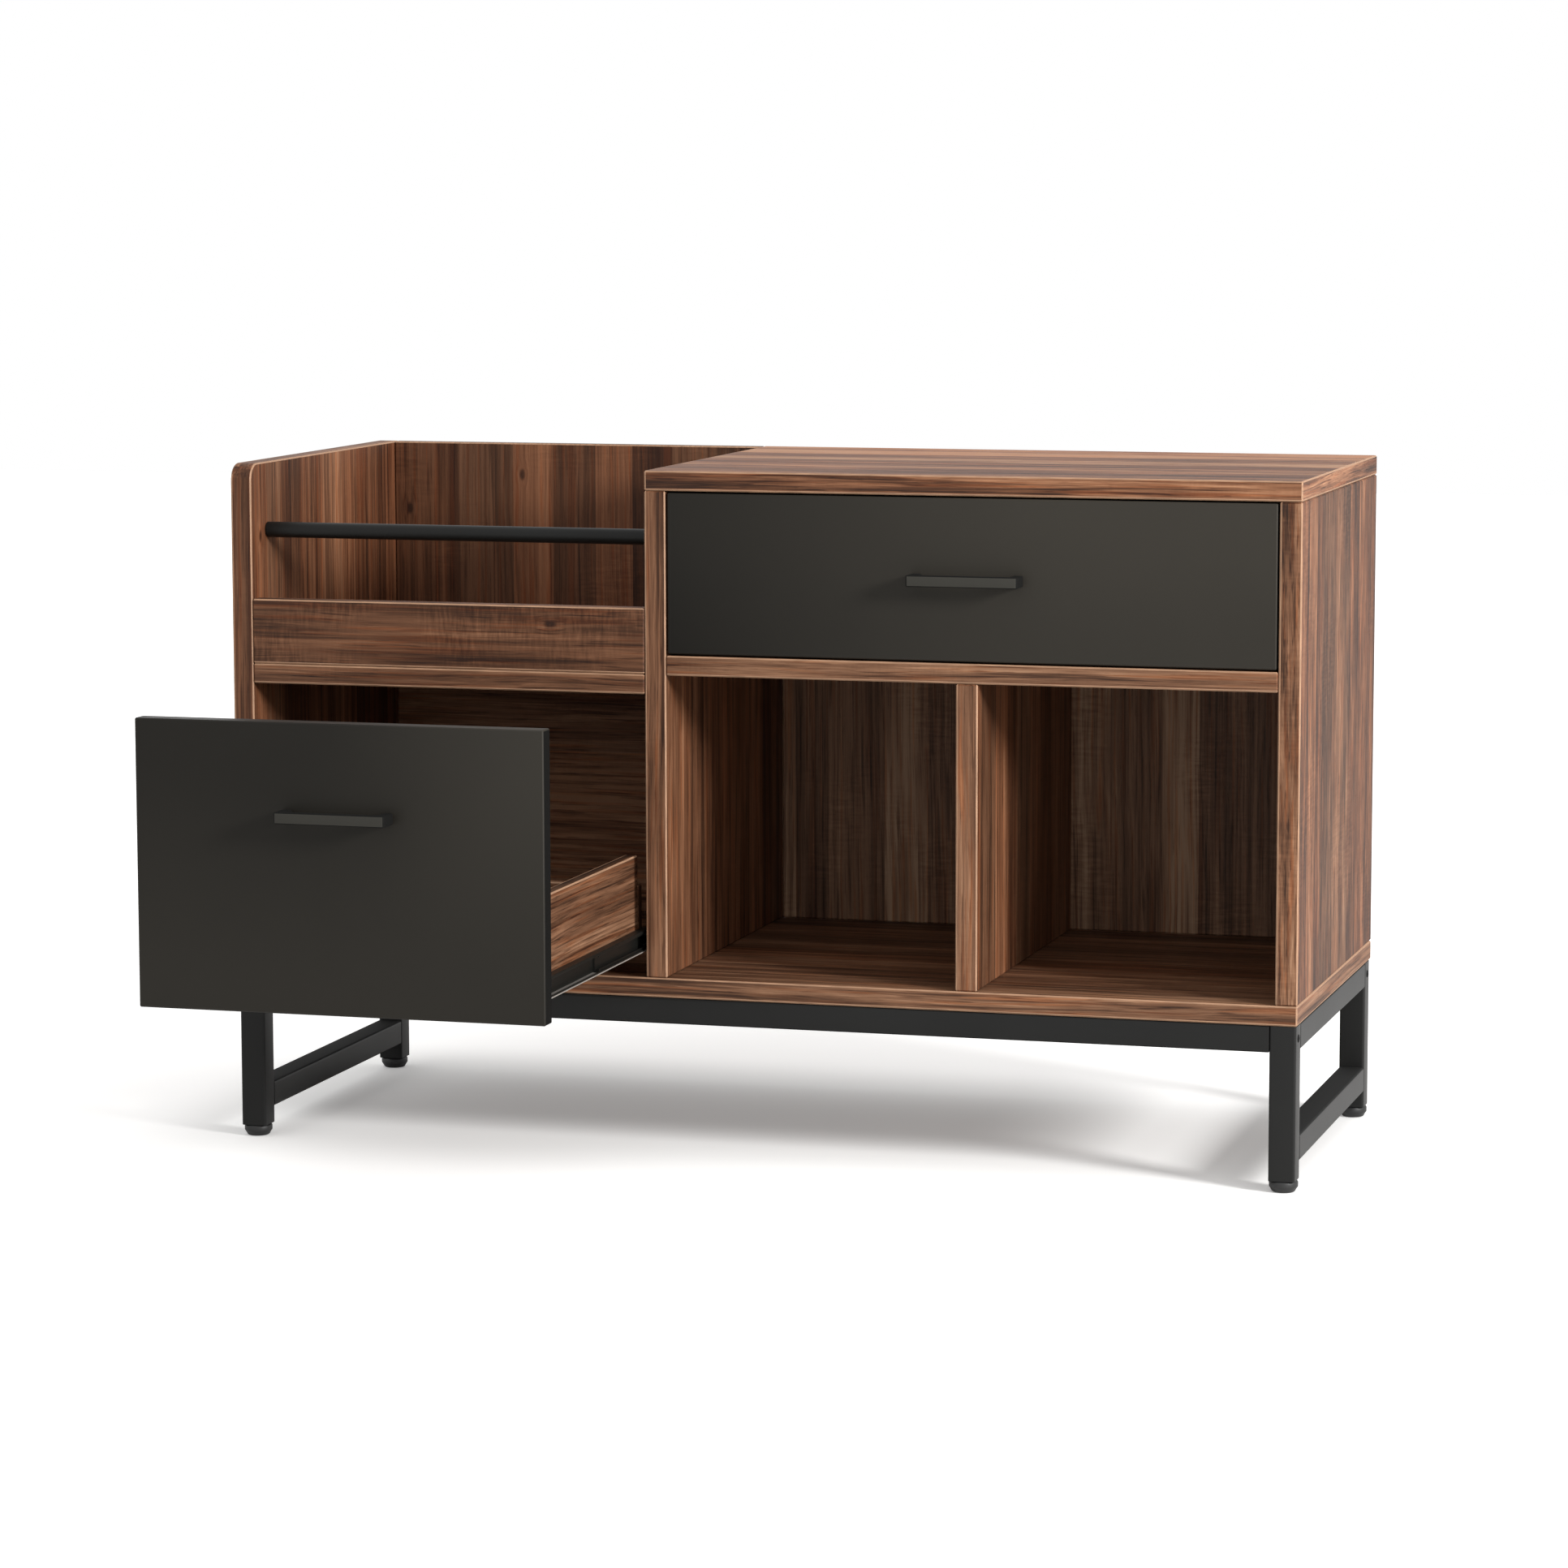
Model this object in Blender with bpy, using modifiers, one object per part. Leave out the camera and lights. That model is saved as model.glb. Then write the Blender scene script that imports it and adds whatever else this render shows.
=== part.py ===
"""Filing cabinet: a file drawer under an open tray, a wide drawer over two cubbies, on a square-tube base.

Metres, +Z up, front towards -Y. The origin is on the floor, under the middle of the cabinet with its file drawer
pulled out by FILE_OPEN.
"""

import math

import bmesh
import bpy
from mathutils import Vector

# Overall size
WIDTH = 1.000
DEPTH = 0.390
HEIGHT = 0.630

# Boards
BOARD_T = 0.018  # horizontal boards
UPRIGHT_T = 0.020
BACK_T = 0.012
LIP_T = 0.018
ARRIS = 0.0012  # chamfer along every board edge
SEAT = 0.0003  # hairline between two pieces that touch

# Layout of the carcass
FILE_BAY_W = 0.380  # clear width between the left side and the divider
TRAY_NICHE_H = 0.1845  # from the tray's floor up to the top of the sides
TRAY_LIP_H = 0.060
TOP_OPENING_H = 0.149  # clear height of the upper drawer's opening
CORNER_R = 0.016  # rounded front top corner of the left side

# Guard rail of the tray
RAIL_D = 0.0145
RAIL_SETBACK = 0.040  # from the front to the rail's axis
RAIL_DROP = 0.063  # from the top of the sides to the rail's axis

# Base
BASE_H = 0.150  # floor to the underside of the bottom board
TUBE = 0.024
TUBE_WALL = 0.0015
TUBE_R = 0.0020  # outer corner radius of the tube
FRAME_INSET = 0.001  # the base stands this far inside the carcass outline
STRETCHER_RAISE = 0.015  # from the leg's lower end to the stretcher
FOOT_H = 0.010
FOOT_R = 0.0130
FOOT_TOE_R = 0.0100
FOOT_TOE_H = 0.0045
STUD_R = 0.0040
STUD_L = 0.024
STUD_PLAY = 0.0001

# Drawers
FRONT_T = 0.018
FRONT_GAP = 0.0018  # reveal round an inset front
FRONT_ARRIS = 0.0010
SIDE_T = 0.012
SIDE_H = 0.088
BACK_H = 0.060  # the box's back is lower than its sides
BOX_LIFT = 0.022  # free height under the box
BOX_REAR_ROOM = 0.070  # free depth behind the closed box
DRAWER_BOTTOM_T = 0.005
GROOVE_D = 0.006  # how far the bottom reaches into the walls round it
GROOVE_RAISE = 0.010  # from the box's lower edge to the bottom
FILE_HELD_BACK = 0.010  # length of the open file drawer's box that stays in the cabinet

# Telescopic slides
SLIDE_T = 0.0127  # room between the drawer's side and the carcass
SLIDE_H = 0.020
SLIDE_SHEET = 0.0012
SLIDE_PLAY = 0.0005
SLIDE_LIP = 0.0016  # how far a lip stands in past the sheet
SLIDE_REACH = 0.0086  # depth of the drawer member
SLIDE_BEND_R = 0.0005
SLIDE_FRONT_ROOM = 0.001  # from a closed front's back to the fixed members

# Handles
HANDLE_L = 0.102
HANDLE_H = 0.010
HANDLE_PROJECTION = 0.022
HANDLE_BAR_T = 0.008
HANDLE_LEG_W = 0.009
HANDLE_R = 0.0020
HANDLE_ARRIS = 0.0006
FILE_HANDLE_DROP = 0.081  # from the file front's top edge to the handle's axis

ARC_STEPS = 8
BEND_STEPS = 2
ROUND_STEPS = 24

# Planes of the carcass, measured from the front of the cabinet
X_LEFT = -WIDTH / 2
X_RIGHT = WIDTH / 2
X_BAY_LEFT = X_LEFT + UPRIGHT_T
X_BAY_RIGHT = X_BAY_LEFT + FILE_BAY_W
X_SECTION_LEFT = X_BAY_RIGHT + UPRIGHT_T
X_SECTION_RIGHT = X_RIGHT - UPRIGHT_T
Z_FLOOR = BASE_H + BOARD_T
Z_TOP_UNDER = HEIGHT - BOARD_T
Z_TRAY_TOP = HEIGHT - TRAY_NICHE_H
Z_TRAY_UNDER = Z_TRAY_TOP - BOARD_T
Z_SHELF_TOP = Z_TOP_UNDER - TOP_OPENING_H
Z_SHELF_UNDER = Z_SHELF_TOP - BOARD_T
Y_BACK_INNER = DEPTH - BACK_T
BOX_L = Y_BACK_INNER - FRONT_T - BOX_REAR_ROOM
FILE_OPEN = BOX_L - FILE_HELD_BACK  # how far the file drawer stands open at rest
SLIDE_L = BOX_L - SLIDE_FRONT_ROOM
LEG_FOOT_Z = FOOT_H + SEAT

# Finishes: colour, roughness, metallic
FINISHES = {
    "walnut_board": ((0.156, 0.065, 0.032), 0.55, 0.0),
    "black_lacquer": ((0.030, 0.028, 0.025), 0.45, 0.0),
    "black_steel": ((0.026, 0.026, 0.024), 0.40, 0.6),
    "slide_steel": ((0.080, 0.082, 0.084), 0.35, 0.9),
    "foot_plastic": ((0.018, 0.018, 0.018), 0.50, 0.0),
}


def clear_scene():
    """Empties the scene."""
    for obj in list(bpy.data.objects):
        bpy.data.objects.remove(obj, do_unlink=True)


def new_collection(name):
    collection = bpy.data.collections.new(name)
    bpy.context.scene.collection.children.link(collection)
    return collection


def make_finish(name):
    """A Principled material for one finish."""
    colour, roughness, metallic = FINISHES[name]
    material = bpy.data.materials.new(name)
    material.use_nodes = True
    shader = material.node_tree.nodes["Principled BSDF"]
    shader.inputs["Base Color"].default_value = (*colour, 1.0)
    shader.inputs["Roughness"].default_value = roughness
    shader.inputs["Metallic"].default_value = metallic
    return material


def add_empty(name, location, parent=None):
    """A carrier that the pieces of one body hang on."""
    empty = bpy.data.objects.new(name, None)
    empty.empty_display_size = 0.05
    empty.location = location
    empty.parent = parent
    PARTS.objects.link(empty)
    return empty


def add_piece(name, data, finish, parent, location, rotation=(0.0, 0.0, 0.0)):
    """One physical piece, hung on its carrier."""
    obj = bpy.data.objects.new(name, data)
    obj.location = location
    obj.rotation_euler = rotation
    obj.parent = parent
    data.materials.append(MATERIALS[finish])
    PARTS.objects.link(obj)
    return obj


def chamfer(obj, width, segments=1):
    """Breaks every sharp edge of a piece."""
    bevel = obj.modifiers.new("arris", "BEVEL")
    bevel.width = width
    bevel.segments = segments
    bevel.limit_method = "ANGLE"
    bevel.angle_limit = math.radians(40)


def block_mesh(name, size):
    """A plain block, centred on its own origin."""
    mesh = bpy.data.meshes.new(name)
    bm = bmesh.new()
    bmesh.ops.create_cube(bm, size=1.0)
    bmesh.ops.scale(bm, vec=size, verts=bm.verts)
    bm.to_mesh(mesh)
    bm.free()
    return mesh


def span(limits):
    """Lengths and centre of a block given by its (low, high) pairs along X, Y and Z."""
    size = Vector([high - low for low, high in limits])
    centre = Vector([(high + low) / 2 for low, high in limits])
    return size, centre


def board(name, x, y, z, parent, finish="walnut_board", arris=ARRIS):
    """A chamfered board between the given planes."""
    size, centre = span((x, y, z))
    obj = add_piece(name, block_mesh(name, size), finish, parent, centre)
    chamfer(obj, arris)
    return obj


def inside(low, high):
    """The room between two planes, less the hairline at each end."""
    return low + SEAT, high - SEAT


def cutter(name, x, y, z, parent):
    """A block that is only cut out of other pieces."""
    size, centre = span((x, y, z))
    obj = bpy.data.objects.new(name, block_mesh(name, size))
    return hide_cutter(obj, centre, parent)


def hide_cutter(obj, location, parent):
    obj.location = location
    obj.parent = parent
    obj.hide_render = True
    obj.display_type = "WIRE"
    CUTTERS.objects.link(obj)
    return obj


def cut(obj, tool):
    boolean = obj.modifiers.new("cut", "BOOLEAN")
    boolean.operation = "DIFFERENCE"
    boolean.object = tool


def rounded(points, radius, steps):
    """The outline through the given corners, each turned into an arc of the given radius."""
    outline = []
    for i, corner in enumerate(points):
        here = Vector(corner)
        before = (Vector(points[i - 1]) - here).normalized()
        after = (Vector(points[(i + 1) % len(points)]) - here).normalized()
        half = before.angle(after) / 2
        centre = here + (before + after).normalized() * radius / math.sin(half)
        reach = radius / math.tan(half)
        start = here + before * reach - centre
        turn = start.angle_signed(here + after * reach - centre)
        for step in range(steps + 1):
            angle = -turn * step / steps
            arm = Vector((
                start.x * math.cos(angle) - start.y * math.sin(angle),
                start.x * math.sin(angle) + start.y * math.cos(angle),
            ))
            outline.append(centre + arm)
    return outline


def extruded(name, outline, length, finish, parent, location, rotation=(0.0, 0.0, 0.0)):
    """A flat outline in XY, extruded along Z to the given length about its own middle."""
    curve = bpy.data.curves.new(name, "CURVE")
    curve.dimensions = "2D"
    curve.fill_mode = "BOTH"
    curve.extrude = length / 2
    spline = curve.splines.new("POLY")
    spline.points.add(len(outline) - 1)
    for point, place in zip(spline.points, outline):
        point.co = (place[0], place[1], 0.0, 1.0)
    spline.use_cyclic_u = True
    obj = add_piece(name, curve, finish, parent, location, rotation)
    weld = obj.modifiers.new("caps", "WELD")
    weld.merge_threshold = 0.00001
    return obj


def tube_mesh(name, length, closed_foot):
    """Open walls of a square tube along Z, with rounded corners, for Solidify to thicken inwards."""
    mesh = bpy.data.meshes.new(name)
    bm = bmesh.new()
    bmesh.ops.create_cube(bm, size=1.0)
    bmesh.ops.scale(bm, vec=(TUBE, TUBE, length), verts=bm.verts)
    upright = [e for e in bm.edges if abs(e.verts[0].co.z - e.verts[1].co.z) > length / 2]
    bmesh.ops.bevel(bm, geom=upright, offset=TUBE_R, segments=BEND_STEPS, profile=0.5, affect="EDGES")
    ends = [f for f in bm.faces if abs(f.normal.z) > 0.5 and not (closed_foot and f.normal.z < 0)]
    bmesh.ops.delete(bm, geom=ends, context="FACES_ONLY")
    bm.to_mesh(mesh)
    bm.free()
    return mesh


def square_tube(name, length, parent, location, rotation=(0.0, 0.0, 0.0), closed_foot=False):
    """A length of square steel tube along its own Z."""
    obj = add_piece(name, tube_mesh(name, length, closed_foot), "black_steel", parent, location, rotation)
    wall = obj.modifiers.new("wall", "SOLIDIFY")
    wall.thickness = TUBE_WALL
    wall.offset = -1.0
    wall.use_even_offset = True
    return obj


def carcass(root):
    """Boards of the cabinet itself."""
    depth = (0.0, DEPTH)
    to_back = (0.0, Y_BACK_INNER - SEAT)
    bay = inside(X_BAY_LEFT, X_BAY_RIGHT)
    section = inside(X_SECTION_LEFT, X_SECTION_RIGHT)
    under_top = inside(Z_FLOOR, Z_TOP_UNDER)
    back = (Y_BACK_INNER, DEPTH)

    board("bottom_panel", (X_LEFT, X_RIGHT), depth, (BASE_H, Z_FLOOR), root)
    board("top_panel", (X_BAY_RIGHT, X_RIGHT), depth, (Z_TOP_UNDER, HEIGHT), root)
    board("middle_divider", (X_BAY_RIGHT, X_SECTION_LEFT), depth, under_top, root)
    board("right_side_panel", (X_SECTION_RIGHT, X_RIGHT), depth, under_top, root)
    board("tray_shelf", bay, to_back, (Z_TRAY_UNDER, Z_TRAY_TOP), root)
    board("tray_lip", bay, (0.0, LIP_T), (Z_TRAY_TOP + SEAT, Z_TRAY_TOP + TRAY_LIP_H), root)
    board("drawer_shelf", section, to_back, (Z_SHELF_UNDER, Z_SHELF_TOP), root)
    board("right_back_panel", section, back, under_top, root)
    meeting = (Z_TRAY_UNDER + Z_TRAY_TOP) / 2
    board("file_back_panel", bay, back, inside(Z_FLOOR, meeting), root)
    board("tray_back_panel", bay, back, (meeting, HEIGHT), root)

    middle = (X_SECTION_LEFT + X_SECTION_RIGHT) / 2
    between = (middle - UPRIGHT_T / 2, middle + UPRIGHT_T / 2)
    board("cubby_divider", between, to_back, inside(Z_FLOOR, Z_SHELF_UNDER), root)
    left_side(root)
    guard_rail(root)


def left_side(root):
    """The left upright, whose front top corner is rounded before its edges are chamfered."""
    size, centre = span(((X_LEFT, X_BAY_LEFT), (0.0, DEPTH), (Z_FLOOR + SEAT, HEIGHT)))
    mesh = block_mesh("left_side_panel", size)
    bm = bmesh.new()
    bm.from_mesh(mesh)
    corner = [e for e in bm.edges if all(v.co.y < 0 < v.co.z for v in e.verts)]
    bmesh.ops.bevel(bm, geom=corner, offset=CORNER_R, segments=ARC_STEPS, profile=0.5, affect="EDGES")
    bm.to_mesh(mesh)
    bm.free()
    panel = add_piece("left_side_panel", mesh, "walnut_board", root, centre)
    chamfer(panel, ARRIS)


def guard_rail(root):
    """Round bar across the tray, from the left side to the divider."""
    start, end = inside(X_BAY_LEFT, X_BAY_RIGHT)
    curve = bpy.data.curves.new("guard_rail", "CURVE")
    curve.dimensions = "3D"
    curve.bevel_depth = RAIL_D / 2
    curve.bevel_resolution = 4
    curve.use_fill_caps = True
    spline = curve.splines.new("POLY")
    spline.points.add(1)
    spline.points[0].co = (-(end - start) / 2, 0.0, 0.0, 1.0)
    spline.points[1].co = ((end - start) / 2, 0.0, 0.0, 1.0)
    place = ((start + end) / 2, RAIL_SETBACK, HEIGHT - RAIL_DROP)
    rail = add_piece("guard_rail", curve, "black_steel", root, place)
    weld = rail.modifiers.new("caps", "WELD")
    weld.merge_threshold = 0.00001


def base(root):
    """Square-tube frame with four legs, and a levelling foot under each leg."""
    reach_x = WIDTH / 2 - FRAME_INSET - TUBE / 2
    rows = {"front": FRAME_INSET + TUBE / 2, "rear": DEPTH - FRAME_INSET - TUBE / 2}
    columns = {"left": -reach_x, "right": reach_x}
    rail_z = BASE_H - SEAT - TUBE / 2
    stretcher_z = LEG_FOOT_Z + STRETCHER_RAISE + TUBE / 2
    along_x = (0.0, math.radians(90), 0.0)
    along_y = (math.radians(90), 0.0, 0.0)

    for row, y in rows.items():
        start, end = inside(-reach_x + TUBE / 2, reach_x - TUBE / 2)
        square_tube(f"{row}_rail", end - start, root, (0.0, y, rail_z), along_x)
        for column, x in columns.items():
            leg(f"{row}_{column}", x, y, root)
    for column, x in columns.items():
        start, end = inside(rows["front"] + TUBE / 2, rows["rear"] - TUBE / 2)
        middle = (start + end) / 2
        square_tube(f"side_rail_{column}", end - start, root, (x, middle, rail_z), along_y)
        square_tube(f"stretcher_{column}", end - start, root, (x, middle, stretcher_z), along_y)


def leg(corner, x, y, root):
    """One leg, closed at its lower end but for the hole that the foot's stud runs in."""
    low, high = LEG_FOOT_Z, BASE_H - SEAT
    tube = square_tube(f"leg_{corner}", high - low, root, (x, y, (low + high) / 2), closed_foot=True)
    hole = bpy.data.meshes.new(f"stud_hole_{corner}")
    bm = bmesh.new()
    bmesh.ops.create_cone(
        bm, cap_ends=True, segments=ROUND_STEPS, depth=TUBE_WALL * 4,
        radius1=STUD_R + STUD_PLAY, radius2=STUD_R + STUD_PLAY,
    )
    bm.to_mesh(hole)
    bm.free()
    cut(tube, hide_cutter(bpy.data.objects.new(f"stud_hole_{corner}", hole), (x, y, low), root))
    foot(corner, x, y, root)


def foot(corner, x, y, root):
    """Levelling foot: a stud in the leg over a round pad with a tapered toe, turned about its own axis."""
    profile = [
        (0.0, FOOT_H + STUD_L),
        (STUD_R, FOOT_H + STUD_L),
        (STUD_R, FOOT_H),
        (FOOT_R, FOOT_H),
        (FOOT_R, FOOT_TOE_H),
        (FOOT_TOE_R, 0.0),
        (0.0, 0.0),
    ]
    name = f"foot_{corner}"
    mesh = bpy.data.meshes.new(name)
    mesh.from_pydata([(r, 0.0, z) for r, z in profile], [(i, i + 1) for i in range(len(profile) - 1)], [])
    obj = add_piece(name, mesh, "foot_plastic", root, (x, y, 0.0))
    turn = obj.modifiers.new("turn", "SCREW")
    turn.steps = ROUND_STEPS
    turn.render_steps = ROUND_STEPS
    turn.use_merge_vertices = True
    turn.merge_threshold = 0.00001


def drawer(name, x, z, pulled, handle_z, root):
    """A drawer that fills the opening x by z: front, box, handle and the members of its two slides."""
    body = add_empty(f"{name}_drawer", (0.0, -pulled, 0.0), root)
    front = board(
        f"{name}_drawer_front", (x[0] + FRONT_GAP, x[1] - FRONT_GAP), (0.0, FRONT_T),
        (z[0] + FRONT_GAP, z[1] - FRONT_GAP), body, "black_lacquer", FRONT_ARRIS,
    )
    handle(f"{name}_drawer_handle", ((x[0] + x[1]) / 2, -SEAT, handle_z), body)

    left, right = x[0] + SLIDE_T, x[1] - SLIDE_T
    low = z[0] + BOX_LIFT
    rear = FRONT_T + BOX_L
    side_y = inside(FRONT_T, rear - SIDE_T)
    side_z = (low, low + SIDE_H)
    sides = [
        board(f"{name}_drawer_side_left", (left, left + SIDE_T), side_y, side_z, body),
        board(f"{name}_drawer_side_right", (right - SIDE_T, right), side_y, side_z, body),
    ]
    back = board(f"{name}_drawer_back", (left, right), (rear - SIDE_T, rear), (low, low + BACK_H), body)

    bottom_x = (left + SIDE_T - GROOVE_D, right - SIDE_T + GROOVE_D)
    bottom_y = (FRONT_T - GROOVE_D, rear - SIDE_T + GROOVE_D)
    bottom_z = (low + GROOVE_RAISE, low + GROOVE_RAISE + DRAWER_BOTTOM_T)
    board(f"{name}_drawer_bottom", bottom_x, bottom_y, bottom_z, body)
    groove = cutter(
        f"{name}_bottom_groove", *[(a - SEAT, b + SEAT) for a, b in (bottom_x, bottom_y, bottom_z)], body
    )
    for wall in (front, back, *sides):
        cut(wall, groove)

    middle = add_empty(f"{name}_slide_middle", (0.0, -pulled / 2, 0.0), root)
    carriers = {"drawer": body, "middle": middle, "cabinet": root}
    for side, wall_x, turn in (("left", left, math.pi), ("right", right, 0.0)):
        slide(f"{name}_slide", side, (wall_x, low + SLIDE_H / 2), turn, carriers)


def handle(name, place, parent):
    """Bar pull: a flat U in plan, whose legs stand on the drawer's front."""
    end, inner = HANDLE_L / 2, HANDLE_L / 2 - HANDLE_LEG_W
    bar_back = HANDLE_BAR_T - HANDLE_PROJECTION
    outline = [
        (-end, 0.0), (-end, -HANDLE_PROJECTION), (end, -HANDLE_PROJECTION), (end, 0.0),
        (inner, 0.0), (inner, bar_back), (-inner, bar_back), (-inner, 0.0),
    ]
    pull = extruded(name, rounded(outline, HANDLE_R, BEND_STEPS), HANDLE_H, "black_steel", parent, place)
    chamfer(pull, HANDLE_ARRIS)


def lipped_channel(web, tip, half):
    """Section of a slide member: a channel open towards the carcass, with a lip along each flange."""
    sheet, lip = SLIDE_SHEET, SLIDE_SHEET + SLIDE_LIP
    upper = [
        (web, half), (tip, half), (tip, half - lip), (tip - sheet, half - lip),
        (tip - sheet, half - sheet), (web + sheet, half - sheet),
    ]
    return upper + [(u, -v) for u, v in reversed(upper)]


def hat_section(rim, web, half, neck):
    """Section of the fixed member: a channel open towards the drawer, with its rims turned outwards."""
    sheet = SLIDE_SHEET
    upper = [
        (web, neck), (rim + sheet, neck), (rim + sheet, half), (rim, half),
        (rim, neck - sheet), (web - sheet, neck - sheet),
    ]
    return upper + [(u, -v) for u, v in reversed(upper)]


def slide(name, side, place, turn, carriers):
    """One telescopic slide: the middle member runs in the drawer's channel and over the fixed member's rims."""
    step = SLIDE_SHEET + SLIDE_PLAY
    web, tip, half = SEAT, SEAT + SLIDE_REACH, SLIDE_H / 2
    inner_half = half - step
    mouth = inner_half - SLIDE_SHEET - SLIDE_LIP
    sections = {
        "drawer": lipped_channel(web, tip, half),
        "middle": lipped_channel(web + step, tip - step, inner_half),
        "cabinet": hat_section(web + 2 * step, SLIDE_T - SEAT, inner_half - step, mouth - SLIDE_PLAY),
    }
    wall_x, axis_z = place
    mid_y = FRONT_T + SLIDE_FRONT_ROOM + SLIDE_L / 2
    for member, section in sections.items():
        extruded(
            f"{name}_{member}_{side}", rounded(section, SLIDE_BEND_R, BEND_STEPS), SLIDE_L, "slide_steel",
            carriers[member], (wall_x, mid_y, axis_z), (math.radians(90), 0.0, turn),
        )


def build():
    """Stands the whole cabinet on the floor, with its middle, drawer included, over the origin."""
    reach = FILE_OPEN + HANDLE_PROJECTION + SEAT
    root = add_empty("filing_cabinet", (0.0, (reach - DEPTH) / 2, 0.0))
    carcass(root)
    base(root)

    file_x, file_z = (X_BAY_LEFT, X_BAY_RIGHT), (Z_FLOOR, Z_TRAY_UNDER)
    drawer("file", file_x, file_z, FILE_OPEN, Z_TRAY_UNDER - FRONT_GAP - FILE_HANDLE_DROP, root)

    top_x, top_z = (X_SECTION_LEFT, X_SECTION_RIGHT), (Z_SHELF_TOP, Z_TOP_UNDER)
    drawer("top", top_x, top_z, 0.0, (Z_SHELF_TOP + Z_TOP_UNDER) / 2, root)


clear_scene()
PARTS = new_collection("filing_cabinet")
CUTTERS = new_collection("cutters")
MATERIALS = {name: make_finish(name) for name in FINISHES}
build()
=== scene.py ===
"""Looks of the filing cabinet: walnut boards, charcoal lacquer, black steel, camera, light and floor."""

import math
from typing import NamedTuple

import bmesh
import bpy
from mathutils import Matrix, Vector


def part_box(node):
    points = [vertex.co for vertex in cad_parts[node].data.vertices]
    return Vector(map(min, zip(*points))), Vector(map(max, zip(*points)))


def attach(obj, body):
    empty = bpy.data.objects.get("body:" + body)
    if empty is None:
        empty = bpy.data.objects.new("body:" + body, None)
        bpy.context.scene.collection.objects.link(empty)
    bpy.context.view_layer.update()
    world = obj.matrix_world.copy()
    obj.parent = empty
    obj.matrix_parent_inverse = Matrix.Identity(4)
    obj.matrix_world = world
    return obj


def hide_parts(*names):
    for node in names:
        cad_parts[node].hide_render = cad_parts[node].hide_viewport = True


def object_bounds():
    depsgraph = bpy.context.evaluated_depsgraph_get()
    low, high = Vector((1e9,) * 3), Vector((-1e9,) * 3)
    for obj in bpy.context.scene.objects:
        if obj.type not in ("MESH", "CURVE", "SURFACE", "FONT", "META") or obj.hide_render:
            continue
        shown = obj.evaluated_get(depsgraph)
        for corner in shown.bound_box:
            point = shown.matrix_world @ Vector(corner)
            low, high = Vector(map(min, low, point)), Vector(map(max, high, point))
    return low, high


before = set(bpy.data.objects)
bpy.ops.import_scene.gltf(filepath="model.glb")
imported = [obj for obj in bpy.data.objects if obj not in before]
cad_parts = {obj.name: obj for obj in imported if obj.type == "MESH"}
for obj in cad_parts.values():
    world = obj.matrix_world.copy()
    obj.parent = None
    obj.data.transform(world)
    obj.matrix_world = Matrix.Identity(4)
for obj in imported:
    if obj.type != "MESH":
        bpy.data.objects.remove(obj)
cad_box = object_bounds()


class Layer(NamedTuple):
    """One layer of noise in a finish."""

    scale: tuple  # how fine it is along each axis, per metre
    detail: float
    roughness: float = 0.5
    rise: tuple = ()  # levels of the noise between which the layer rises from 0 to 1


class Board(NamedTuple):
    """How one board is cut and finished."""

    grain: str  # axis along the grain
    across: str  # axis across its main face
    seed: float  # which planks show
    tone: float
    staves: float = 0.20  # how far its planks differ in tone
    contrast: float = 1.0
    run: float = 1.5  # the larger, the shorter the streaks
    chatter: float = 0.15  # marks across the grain
    hue: float = 0.0  # below 0 redder, above 0 greyer
    strip: float = 0.0  # how much lighter its edge strips and ends are
    end: float = 0.0  # how much lighter again its ends are
    rear: float = 0.0  # how much lighter its rear face is
    pale: tuple = ()  # pairs of axes: the faces that look along them meet in a pale edge


class PaintedSheen(NamedTuple):
    """Painted light on the lacquer of one front: how it grows lighter from its left end to its right end."""

    start: float  # where that starts and stops, as shares of the front's width
    stop: float
    upper: tuple  # levels at the left and at the right along the upper edge
    lower: tuple  # and along the lower edge


AXES = "XYZ"
DRAWERS = ("file", "top")
CORNERS = [f"{row}_{column}" for row in ("front", "rear") for column in ("left", "right")]
FRONT_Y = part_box("bottom_panel")[0].y  # front plane of the carcass

# Camera, fitted to the photograph's 1932 x 1932 frame
CAMERA_PLACE = (1.2735, FRONT_Y - 4.3037, 0.9161)
CAMERA_YAW = math.radians(16.104)
CAMERA_PITCH = math.radians(7.202)
CAMERA_ROLL = math.radians(-0.112)
CAMERA_LENS = 115.2
CAMERA_SENSOR = 36.0

# Light
DOME = 0.55  # mean brightness of the surroundings
DOME_SLOPE = Vector((0.45, -0.65, 0.50))  # they grow brighter towards the right, the front and the top
KEY_PLACE = Vector((3.60, -1.55, 1.70))
KEY_AIM = Vector((0.15, 0.05, 0.30))
KEY_SIZE = 0.90
KEY_POWER = 171.0
KEY_SPREAD = 10.8  # the key's power over the light that it throws straight on at one metre

# Floor
FLOOR_REACH = 9.0  # half its side
FLOOR_DROP = 0.0002  # so far under the feet
FLOOR_TONE = 0.55
FLOOR_WHITE = (1.0, 0.992, 0.975)  # as the camera sees it
FLOOR_LIFT = (0.205, 0.42)  # brightness added for the camera under the carcass and away from it
SHADOW_INSET = 0.03  # the shadow's deep core starts so far inside the carcass
SHADOW_FADE = 0.17  # and fades over this length

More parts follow.
